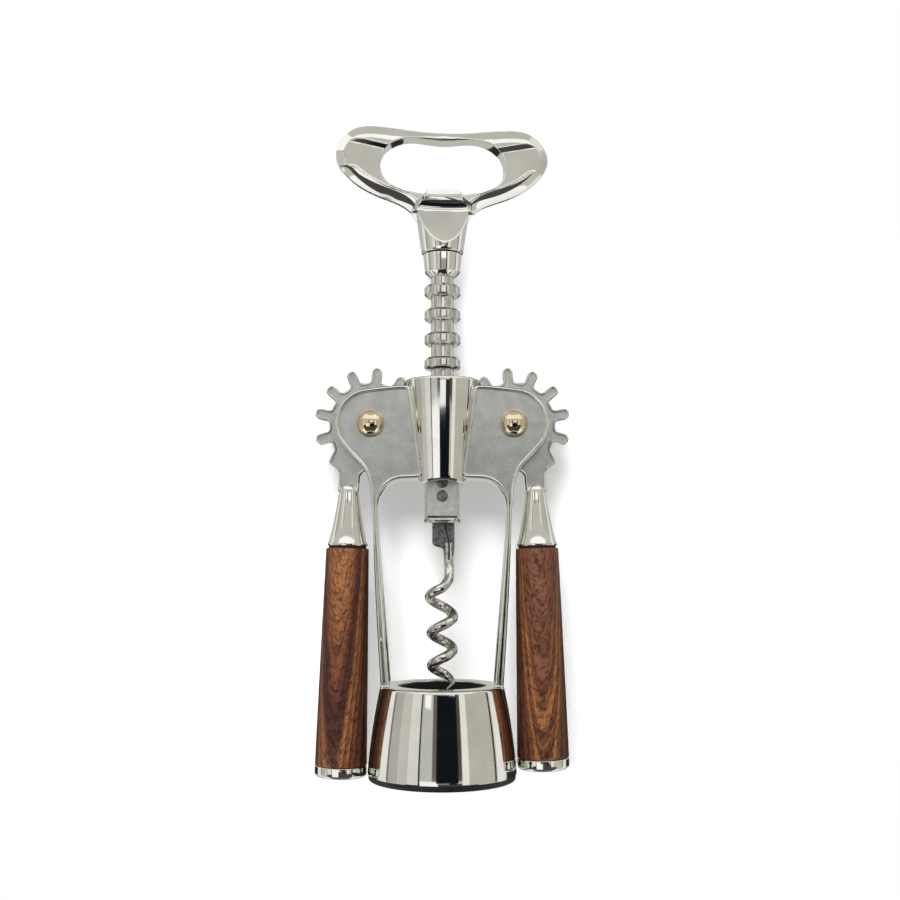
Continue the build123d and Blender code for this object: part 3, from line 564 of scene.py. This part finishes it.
# ---- levers ----
def gear_corners():
    """Corners and corner radii of the right lever's plate about its pivot: nine finger teeth
    28 degrees apart from the one nearest the hook, the hook tooth, and the web down to the cone."""
    rows = []
    for i in range(7, -2, -1):
        angle = np.radians(180 - 28 * i)
        along = np.array([np.cos(angle), np.sin(angle)])
        across = np.array([-np.sin(angle), np.cos(angle)])
        root, tip, half = 11.5, 15.58, 1.45
        for out, side, radius in ((root, -1, 0.9), (tip, -1, 1.4), (tip, 1, 1.4), (root, 1, 0.9)):
            rows.append((*(along * out + across * side * half), radius))
    rows += [(0.0, -11.8, 1.6), (2.9, -13.6, 1.6), (3.3, -18.6, 0.8), (8.9, -18.6, 0.8),
             (8.75, -12.6, 1.5), (11.6, -10.3, 0.85), (10.0, -6.9, 1.2)]
    table = np.array(rows)
    return table[:, :2], table[:, 2]


def lever_plate():
    """Gear and web of the right lever: a bead carried round the outline on both faces, an ellipse
    quarter 0.38 wide and 1.0 deep outside its crest and one 0.7 deep inside it."""
    outline = spaced(rounded(*gear_corners(), steps=9), 0.45)
    ahead = np.roll(outline, -1, 0)
    area = np.sum(outline[:, 0] * ahead[:, 1] - ahead[:, 0] * outline[:, 1])
    outline = outline if area > 0 else outline[::-1]
    turns = np.linspace(0, np.pi, 9)
    profile = [(0.38 * (1 - np.cos(t)), 2.3 - (1.0 if t < 1.57 else 0.7) * (1 - np.sin(t)))
               for t in turns]
    shell = slab(outline + PIVOT, [(i, h) for i, h in profile[::-1]] + [(i, -h) for i, h in profile])
    kinds = [0] * (len(shell[1]) - 2) + [1, 1]
    return shell, kinds


def lever_cone():
    """Round foot of the lever about the grip's axis: a blunt top inside the web, widening to
    the collar that sits on the grip."""
    profile = [(0, 17.6), (1.3, 17.45), (2.1, 17.05), (2.55, 16.4), (2.75, 15.6), (2.85, 14.6),
               (3.02, 13.0), (3.35, 11.0), (3.85, 8.0), (4.4, 5.0), (5.05, 2.2), (5.38, 1.3),
               (5.45, 1.0), (5.36, 0.72), (5.05, 0.5), (0, 0.5)]
    return lathe(profile, False, 96)


def lever(name, side):
    """One lever's casting: the gear plate and the cone, in two shells that overlap in the web."""
    shell, kinds = lever_plate()
    points, faces = lever_cone()
    shells = [mirrored(shell, (side, 1, 1)), (to_grip(points, side), faces)]
    piece(f"lever_casting_{name}", shells, f"lever_{name}",
          [polished_chrome, satin_chrome], [f"lever_{name}"], kinds=[kinds, [0] * len(faces)])


def grip(name, side):
    """Turned grip, its end cap and its washer. The wood's radius is a parabola in the height:
    5.75 at the top, 6.35 midway and 6.9 at the lower end, with small rounded edges."""
    length = GRIP_LENGTHS[name]
    down = np.linspace(0.5, length - 0.5, 40)
    a, b, c = np.polyfit([0.35, length / 2, length - 0.35], [5.75, 6.35, 6.9], 2)
    outside = np.stack([a * down ** 2 + b * down + c, -down], 1)
    wood = np.concatenate([
        [[0, 0], [5.2, 0], [5.5, -0.06], [5.68, -0.2]], outside,
        [[6.84, -length + 0.2], [6.7, -length + 0.05], [6.5, -length], [0, -length]]])
    foot = -length - 2.9
    cap = rounded([(0, -length), (6.9, -length), (6.9, foot), (0, foot)], [0.01, 0.25, 0.9, 0.01])
    cap = np.concatenate([[[0, -length]], cap[7:-7], [[0, foot]]])
    washer = rounded([(0, 0), (5.1, 0), (5.1, 0.5), (0, 0.5)], [0.01, 0.1, 0.1, 0.01], 4)[4:-4]
    rosewood = turned_rosewood(f"turned_rosewood_{name}", side * (GRIP_TOP[0] + 0.6), *GRAIN[name])
    for kind, profile, count, slot, finish, node in (
            ("wooden_grip", wood, 128, "rosewood", rosewood, "grip"),
            ("grip_end_cap", cap, 128, "polished_chrome", polished_chrome, "end_cap"),
            ("washer", washer, 96, "dark_washer", dark_joint_washer, "grip_washer")):
        points, faces = lathe(profile, False, count)
        piece(f"{kind}_{name}", [(to_grip(points, side), faces)], f"lever_{name}", [finish],
              [f"{node}_{name}"])


for name, side in SIDES.items():
    lever(name, side)
    grip(name, side)


# ---- opener handle ----
HANDLE_CENTRE = np.array([0.0, 166.5])
HANDLE_TURN = np.radians(6.0)          # the handle is set a little round from the flat faces


def handle_turned(points):
    """Points turned about Z by the handle's own angle."""
    c, s = np.cos(HANDLE_TURN), np.sin(HANDLE_TURN)
    x, y, z = points.T
    return np.stack([x * c - y * s, x * s + y * c, z], 1)


def smooth_loop(half, steps=60):
    """A closed curve through right-half points and their mirror image: the cubic spline whose
    parameter is the chord length. Its second derivatives solve one linear equation a point."""
    half = np.asarray(half, float)
    loop = np.concatenate([half, half[-2:0:-1] * [-1, 1]])
    count = len(loop)
    ahead = np.roll(loop, -1, 0) - loop
    chord = np.linalg.norm(ahead, axis=1)
    slope = ahead / chord[:, None]
    equations = np.diag(2 * (chord + np.roll(chord, 1)))
    at = np.arange(count)
    equations[at, (at + 1) % count] += chord
    equations[at, at - 1] += np.roll(chord, 1)
    bend = np.linalg.solve(equations, 6 * (slope - np.roll(slope, 1, 0)))[:, None]
    t = np.linspace(0, 1, steps, endpoint=False)[None, :, None]
    straight = (1 - t) * loop[:, None] + t * np.roll(loop, -1, 0)[:, None]
    bowed = ((1 - t) ** 3 - (1 - t)) * bend + (t ** 3 - t) * np.roll(bend, -1, 0)
    return (straight + chord[:, None, None] ** 2 / 6 * bowed).reshape(-1, 2)


OUTER_LOOP = smooth_loop([(0, 146), (5.75, 149), (8.9, 153.6), (16.6, 157.5), (24.6, 161.7),
                          (29.5, 169.2), (24.6, 176.6), (18.6, 177.55), (0, 175.8)])
HOLE_LOOP = smooth_loop([(0, 158.1), (12.2, 159.8), (15.8, 162.0), (17.4, 166.2), (14.9, 171.9),
                         (10.6, 173.9), (0, 173.5)])


def polar_reach(loop, angle):
    """Distance from the handle's centre to a loop, for each angle."""
    away = loop - HANDLE_CENTRE
    at = np.degrees(np.arctan2(away[:, 1], away[:, 0]))
    order = np.argsort(at)
    return np.interp(angle, at[order], np.hypot(*away.T)[order], period=360)


def nearest(points, loop):
    """Distance from each point to the closest point of a loop."""
    flat = points.reshape(-1, 2)
    best = np.full(len(flat), 1e9)
    for part in np.array_split(loop, 12):
        best = np.minimum(best, ((flat[:, None] - part[None]) ** 2).sum(-1).min(1))
    return np.sqrt(best).reshape(points.shape[:-1])


def ease(value, low, high):
    """0 below low, 1 above high, and a smooth S between."""
    t = np.clip((value - low) / (high - low), 0, 1)
    return t * t * (3 - 2 * t)


def handle_ring():
    """The two lobes round the hole. Rays from the centre run from the outer to the hole outline.
    The half depth is the least of three heights: the outer shape, which climbs from the outer
    edge over a bevel to a crest; each lobe's sunk panel; and the valley between hole and neck."""
    degrees = np.linspace(0, 360, 540, endpoint=False)
    far, near = polar_reach(OUTER_LOOP, degrees), polar_reach(HOLE_LOOP, degrees)
    share = (1 - np.cos(np.linspace(0, np.pi, 67))) / 2
    reach = far[:, None] + (near - far)[:, None] * share
    turn = np.radians(degrees)[:, None]
    x, z = reach * np.cos(turn), HANDLE_CENTRE[1] + reach * np.sin(turn)
    at = np.stack([x, z], -1)
    outer, hole = nearest(at, OUTER_LOOP), nearest(at, HOLE_LOOP)
    outer[:, 0], hole[:, -1] = 0, 0
    # side: 0 at the top, 90 at a lobe's end and 180 below
    side = np.abs((degrees + 90) % 360 - 180)[:, None]
    # the outer shape: a bevel of slope 0.7 and a soft crest, or the round slope along the lower edges
    bevel = np.interp(side, [0, 25, 50, 100], [0.7, 1.1, 2.2, 2.3])
    crest = np.interp(side, [0, 40, 60, 80, 100], [1.3, 1.9, 2.1, 1.4, 0.6])
    past = np.clip((outer - bevel) / crest, 0, 1)
    upper = 0.7 * (np.minimum(outer, bevel) - bevel)
    upper -= crest * (0.20 * (1 - past) ** 2 + 0.08 * (1 - past))
    lower = -2.45 * (1 - np.clip(outer / 3.3, 0, 1)) ** 1.75
    below = ease(side, 91, 95)
    depth = 3.0 + upper * (1 - below) + lower * below
    # a lobe's panel at 2.45, with a flank of slope 0.45 above a sloping line and a thin step below
    line = 170.8 + 0.2 * (np.abs(x) - 16.1)
    lobe = ease(side, 36, 44) * (1 - ease(side, 128, 136))
    panel = 2.45 + 0.45 * np.maximum(0, z - line) + 1.5 * np.maximum(0, 3.55 - outer) * below
    depth = np.minimum(depth, panel + 2.0 * (1 - lobe))
    # under the hole a valley: it falls from the rim with slope 0.55 and curves up to the shield
    down = np.clip(hole - 0.3, 0, 6)
    valley = 3.0 - 0.55 * down + 0.2065 * np.maximum(0, down - 1.9) ** 2
    valley -= 4.0 * np.maximum(0, down - 4.2)
    depth = np.minimum(depth, valley + 8.0 * (1 - ease(side, 126, 150)))
    # at the hole: a rounding, larger along the bar over the hole
    round_over = np.interp(side, [0, 30, 50, 180], [0.9, 0.8, 0.35, 0.35])
    near_hole = np.clip(1 - hole / round_over, 0, 1)
    depth -= round_over * (1 - np.sqrt(1 - near_hole ** 2))
    depth = np.maximum(depth, 0.3)
    front = np.stack([x, -depth, z], -1)
    back = np.stack([x, depth, z], -1)[:, ::-1]
    points = np.concatenate([front, back], 1)
    rows, columns = points.shape[:2]
    return points.reshape(-1, 3), grid_faces(rows, columns, wrap_rows=True)


def handle_neck():
    """Round neck, widening upwards to a rounded shoulder, with a flat shield cut front and back:
    no point lies in front of the plane that leans back 24 degrees."""
    z = np.concatenate([[142.2, 142.28, 142.5], np.linspace(143.2, 152.6, 44)])
    radius = 5.75 + (7.3 - 5.75) * (z - 142.2) / 11.0
    radius[:3] -= [0.3, 0.12, 0.02]
    turn = np.linspace(0, np.pi / 2, 18)
    top = np.stack([4.7 + 2.55 * np.cos(turn), 153.2 + 2.4 * np.sin(turn)], 1)
    profile = np.concatenate([[[0, 142.2]], np.stack([radius, z], 1), top, [[0, 155.6]]])
    points, faces = lathe(profile, False, 216)
    limit = 5.7 - np.tan(np.radians(24.0)) * (points[:, 2] - 144.9)
    limit = np.maximum(limit, 0.8)
    points[:, 1] = np.clip(points[:, 1], -limit, limit)
    return points, faces


def opener_lip():
    """A low tab over the hole's lower edge: its outline shrinks a little towards each face."""
    outline = rounded([(-5.6, 156.5), (5.6, 156.5), (5.4, 158.1), (4.5, 159.7), (-4.5, 159.7),
                       (-5.4, 158.1)], [0.3, 0.3, 0.2, 0.35, 0.35, 0.2], 5)
    return slab(outline, ((0.3, -3.06), (0.1, -2.98), (0, -2.75), (0, 2.75), (0.1, 2.98), (0.3, 3.06)))


handle_shells = [(handle_turned(points), faces)
                 for points, faces in (handle_ring(), handle_neck(), opener_lip())]
piece("opener_handle_casting", handle_shells, "spindle", [polished_chrome],
      ["opener_handle"], crease=38)
collar = turned([(3.2, 135.5), (3.5, 135.5), (4.85, 136.9), (5.35, 141.9), (3.2, 141.9)],
                [0.05, 0.15, 0.25, 0.2, 0.05])
piece("sliding_collar", [collar], "carriage", [polished_chrome],
      ["stop_collar"], crease=25)


# ---- rack and worm ----
def rack_profile():
    """Rack from its lower end up: the milled end, then eight chamfered rings 6.7 mm apart on a
    core of radius 3.15, and the core on into the collar and the neck."""
    core, rim, first_ring, pitch, steps = 3.15, 4.96, 84.65, 6.7, 5
    corners = [(0, 67.9), (rim, 67.9), (rim, 82.4), (core, 82.4)]
    radii = [0.01, 0.8, 0.3, 0.1]
    for i in range(8):
        middle = first_ring + pitch * i
        for out, up, radius in ((core, -1.65, 0.08), (4.3, -1.65, 0.12), (rim, -0.98, 0.15),
                                (rim, 0.98, 0.15), (4.3, 1.65, 0.12), (core, 1.65, 0.08)):
            corners.append((out, middle + up))
            radii.append(radius)
    corners += [(core, 142.0), (0, 142.0)]
    radii += [0.05, 0.01]
    return rounded(corners, radii, steps)[steps - 1:-(steps - 1)]


def rack_shaft():
    """The turned rack, with its lower end milled flat at 2.9 mm on both faces above a round foot."""
    profile = spaced(rack_profile(), 0.6, closed=False)
    points, faces = lathe(profile, False, 120)
    milled = (points[:, 2] > 69.2) & (points[:, 2] < 82.5)
    points[milled, 1] = np.clip(points[milled, 1], -2.9, 2.9)
    # faces that lie wholly on a flat get the milled finish
    flat = milled & (np.abs(points[:, 1]) > 2.899) & (points[:, 2] > 69.3)
    return (points, faces), [int(flat[face].all()) for face in faces]


rack, rack_kinds = rack_shaft()
piece("turned_rack", [rack], "spindle", [rack_steel, milled_steel], ["rack_shaft"],
      kinds=[rack_kinds], crease=28)


def worm_shank():
    """Flat shank: its outline, rounded into the wire below, shrinks a little towards each face."""
    outline = rounded([(-2.7, 62.0), (0.35, 61.0), (0.45, 58.8), (3.05, 58.8), (3.3, 61.5),
                       (3.3, 80.6), (-2.7, 80.6)], [1.1, 1.0, 0.3, 0.3, 1.0, 0.3, 0.3], 7)
    return slab(outline, ((0.5, -1.0), (0.16, -0.86), (0, -0.6), (0, 0.6), (0.16, 0.86), (0.5, 1.0)))


def worm_wire():
    """The wire's round section carried along its path: straight down beside the shank, a bend to
    the front, then a helix of pitch 8.7 whose radius and rise fade in, and a tapering point."""
    pitch, start, wire, leaves = 8.7, 47.1 + 8.7 / 4, 1.35, 1.75
    turns = 360 * (start - 27.4) / pitch
    t = np.concatenate([np.linspace(-90, 0, 24, endpoint=False), np.linspace(0, turns + 150, 330)])
    fade = np.maximum(0, 1 - t / 270)
    radius = 3.05 - 0.3 * np.minimum(1, t / turns) + 0.6 * fade
    angle = -90 - t
    z = start - pitch * t / 360 + 1.3 * fade
    lead = t < 0
    share = 1 + t[lead] / 90
    first_z = start + 1.3
    radius[lead] = leaves + (3.65 - leaves) * share ** 2
    angle[lead] = -90 * share ** 1.5
    z[lead] = first_z + (58.0 - first_z) * (1 - share)
    path = np.stack([radius * np.cos(np.radians(angle)), radius * np.sin(np.radians(angle)), z], 1)
    straight = np.stack([np.full(6, leaves), np.zeros(6), np.linspace(62.6, 58.6, 6)], 1)
    path = np.concatenate([straight, path])
    thick = np.concatenate([np.full(6, wire), wire - 1.12 * np.clip((t - turns) / 150, 0, 1) ** 0.8])
    along = unit(np.gradient(path, axis=0))
    # side and up: the section's own axes, square to the path and to the worm's axis
    side = unit(np.cross(along, [0.0, 1.0, 0.0]))
    up = np.cross(side, along)
    ring = np.linspace(0, 2 * np.pi, 28, endpoint=False)[None, :, None]
    section = side[:, None] * np.cos(ring) + up[:, None] * np.sin(ring)
    return solid(path[:, None] + thick[:, None, None] * section)


shank, wire = worm_shank(), worm_wire()
piece("steel_worm", [shank, wire], "spindle", [worm_wire_steel, worm_shank_steel],
      ["worm"], kinds=[[1] * len(shank[1]), [0] * len(wire[1])], crease=20)


def coiled_pin(height):
    """End of a pin rolled from strip: the face steps back along a spiral, so that each turn of
    the strip shows as a line."""
    out, around = np.meshgrid(np.linspace(0, 1, 22), np.linspace(0, 2 * np.pi, 60, endpoint=False),
                              indexing="ij")
    wave = np.mod(out * 2.4 - around / (2 * np.pi), 1.0)
    face = -2.95 - 0.22 * (1 - out ** 4) * (0.35 + 0.65 * np.sin(np.pi * wave) ** 0.6)
    x, z = 1.58 * out * np.cos(around), 1.58 * out * np.sin(around)
    front = np.stack([x, face, z + height], -1)
    back = front[::-1] * [1, -1, 1]
    return solid(np.concatenate([front, back]), ends=False)


for name, height in {"worm_pin_lower": 75.2, "worm_pin_upper": 78.85}.items():
    piece(f"coiled_{name}", [coiled_pin(height)], "spindle", [pin_steel], [name],
          crease=45)

# the hidden pins and studs keep their solids' shape
for name in ("handle_pin", "grip_stud_left", "grip_stud_right"):
    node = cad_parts[name]
    node.data.materials.clear()
    node.data.materials.append(pin_steel)


# ---- studio ----
def direction(azimuth, elevation):
    """Unit vectors from the tool: azimuth 0 is towards the viewer at -Y, 90 is +X."""
    a, e = np.radians(azimuth), np.radians(elevation)
    return np.stack([np.sin(a) * np.cos(e), -np.cos(a) * np.cos(e), np.sin(e)], -1)


def stage_mesh(name, points, faces, material):
    """A floor, wall or card of the studio, from points in millimetres."""
    mesh = bpy.data.meshes.new(name)
    mesh.from_pydata((np.asarray(points) * MM).tolist(), [], faces)
    mesh.materials.append(material)
    made = linked(name, mesh)
    return made


def card(name, points, faces, colour, strength=1.0):
    """A card that only mirrors show: it lights nothing, casts no shadow and isn't seen itself."""
    material, tree = new_material(name)
    glow = add(tree, "Emission", {"Color": linear(colour), "Strength": strength})
    add(tree, "OutputMaterial", {"Surface": glow})
    made = stage_mesh(name, points, faces, material)
    made.visible_camera = made.visible_diffuse = made.visible_shadow = False


def round_card(name, azimuths, elevations, distance, colour, strength=1.0):
    """A card curved round the tool between two azimuths and two elevations."""
    a, e = np.meshgrid(np.linspace(*azimuths, 25), np.linspace(*elevations, 13))
    points = CENTRE + distance * direction(a, e)
    card(name, points.reshape(-1, 3), grid_faces(13, 25, wrap_columns=False), colour, strength)


round_card("grey_room", (-180, 180), (-90, 90), 3100, "#C8C7C0")
round_card("pale_table", (-180, 180), (-90, -62), 3050, "#F4F4F2")
round_card("dark_foot", (-180, 180), (-90, -66), 3040, "#282725")
round_card("dark_table", (-58, 58), (-62, -8), 3000, "#4A4947")
round_card("bright_ceiling", (-75, 75), (30, 62), 2950, "#FFFFFF", 1.15)
round_card("dark_back", (125, 235), (35, 80), 2950, "#62615E")
for side in (-1, 1):
    round_card("white_screen", (94 * side, 113 * side), (-62, 62), 2900, "#F4F4F1")
    round_card("black_screen", (117 * side, 175 * side), (-15, -1.5), 2900, "#2E2D2B")
    round_card("pale_screen", (117 * side, 175 * side), (-1.5, 30), 2900, "#C6C8C9")
for side in (-1, 1):
    round_card("white_cloth", (58 * side, 94 * side), (-64, -35), 2900, "#FFFFFF", 1.1)
round_card("left_wall", (-90, -72), (-14, 22), 2900, "#B6B5AD")
round_card("left_wall_middle", (-72, -54), (-14, 22), 2890, "#CCCBC4")
round_card("left_wall_lit", (-54, -36.5), (-14, 22), 2890, "#E8E7E2")
round_card("left_frame", (-36.5, -33.8), (-30, 22), 2800, "#2B2B29")
round_card("left_edge", (-93.5, -90), (-14, 22), 2800, "#73716D")
round_card("window_low", (-33.8, -6), (-26, -3.0), 2850, "#FFFFFF", 1.1)
round_card("window_grey", (-33.8, -15), (-3.0, 19), 2850, "#C9C9C7")
round_card("window_spot", (-30, -19), (12.5, 17), 2800, "#FFFFFF", 1.2)
round_card("warm_grey_left", (-15, -6), (-3.0, 19), 2850, "#6E6660")
round_card("grey_wall_ahead", (-6, 23), (-0.8, 8), 2850, "#A4A39F")
round_card("window_ahead", (-6, 23), (8, 17.5), 2850, "#FFFFFF", 1.2)
round_card("window_glare", (-6, 11), (-8, -0.8), 2850, "#FFFFFF", 1.1)
round_card("shade_ahead", (11, 23), (-12, -0.8), 2850, "#2A2D30")
round_card("warm_grey_right", (23, 31), (-3.0, 19), 2850, "#544B46")
round_card("lamp_cloth", (31, 42), (-14, 22), 2850, "#F6F4EC")
round_card("right_wall", (42, 88), (-14, 22), 2900, "#C3C0B7")
round_card("right_frame", (88, 92), (-14, 22), 2800, "#3B3A38")
# a dark body close in front, which the bell and the lower sleeve mirror and the head doesn't
card("camera_body", [(-29, -200, -16), (89, -200, -16), (89, -200, 86), (-29, -200, 86)],
     [(0, 1, 2, 3)], "#10151A")


def plainly_seen(tree):
    """1 for rays from the camera, off mirrors and through glass, and 0 for those that only light."""
    path = add(tree, "LightPath").outputs
    seen = add(tree, "Math", {0: path["Is Camera Ray"], 1: path["Is Glossy Ray"]}, operation="MAXIMUM")
    return add(tree, "Math", {0: seen, 1: path["Is Transmission Ray"]}, operation="MAXIMUM")


def wall_and_floor():
    """A white wall close behind the tool and a white floor. Both take the soft shadows; the
    camera and mirrors also see a little glow, so that they are white where no shadow falls.
    The wall shows only from its front, and its shadows fade out towards its top at 152 mm, which
    leaves room for the handle to spin in front of the white world."""
    material, tree = new_material("white_studio_paper")
    seen = plainly_seen(tree)
    glow = add(tree, "Math", {0: seen, 1: 0.22}, operation="MULTIPLY")
    paper = add(tree, "BsdfPrincipled", {
        "Base Color": linear("#F2F2F2"), "Roughness": 1.0, "Specular IOR Level": 0.0,
        "Emission Color": linear("#FFFFFF"), "Emission Strength": glow})
    white = add(tree, "Emission", {"Color": linear("#FFFFFF"), "Strength": seen})
    place = add(tree, "TexCoord").outputs["Object"]
    height = add(tree, "SeparateXYZ", {"Vector": place}).outputs["Z"]
    top, reach, forward = 152, 500, 440
    fade = add(tree, "MapRange", {
        "Value": height, "From Min": (top - 20) * MM, "From Max": (top - 3) * MM})
    paper = add(tree, "MixShader", {0: fade, 1: paper, 2: white})
    clear = add(tree, "BsdfTransparent")
    back = add(tree, "NewGeometry").outputs["Backfacing"]
    both = add(tree, "MixShader", {0: back, 1: paper, 2: clear})
    add(tree, "OutputMaterial", {"Surface": both})
    tilt = np.radians(CAMERA_TILT)
    up = top * np.array([0.0, -np.sin(tilt), np.cos(tilt)])
    left, right = np.array([(-reach, 21.7, 0.0), (reach, 21.7, 0.0)])
    ahead = np.array([0.0, -forward, 0.0])
    behind = stage_mesh("wall", [left, right, right + up, left + up], [(0, 1, 2, 3)], material)
    below = stage_mesh("floor", [left, right, right + ahead, left + ahead], [(0, 1, 2, 3)], material)
    # the polished metal shows the studio's cards instead
    behind.visible_glossy = below.visible_glossy = False
    # and the wood's sides stay dark without light from the wall
    behind.visible_diffuse = False


wall_and_floor()

# a soft square lamp, up in front, that looks at the middle of the tool
lamp_data = bpy.data.lights.new("soft_key", "AREA")
lamp_data.size, lamp_data.energy = 420 * MM, 9.8
lamp = linked("soft_key", lamp_data)
away = direction(-8, 34)
lamp.location = (CENTRE + 900 * away) * MM
lamp.rotation_mode = "QUATERNION"
lamp.rotation_quaternion = Vector(away.tolist()).to_track_quat("Z", "Y")
lamp.visible_glossy = False

world = bpy.data.worlds.new("white_room")
scene.world = world
tree = emptied_tree(world)
lit = add(tree, "Background", {"Color": (1, 1, 1, 1), "Strength": 0.5})
shown = add(tree, "Background", {"Color": (1, 1, 1, 1), "Strength": 1.0})
both = add(tree, "MixShader", {0: plainly_seen(tree), 1: lit, 2: shown})
add(tree, "OutputWorld", {"Surface": both})

camera_data = bpy.data.cameras.new("camera")
camera_data.lens, camera_data.sensor_width = 48.0, 36.0
camera_data.clip_start, camera_data.clip_end = 0.01, 10.0
camera = linked("camera", camera_data)
camera.location = (0.0021, -0.3262, 0.0599)
camera.rotation_euler = (np.radians(90 + CAMERA_TILT), 0, 0)
scene.camera = camera
scene.view_settings.view_transform = "Standard"
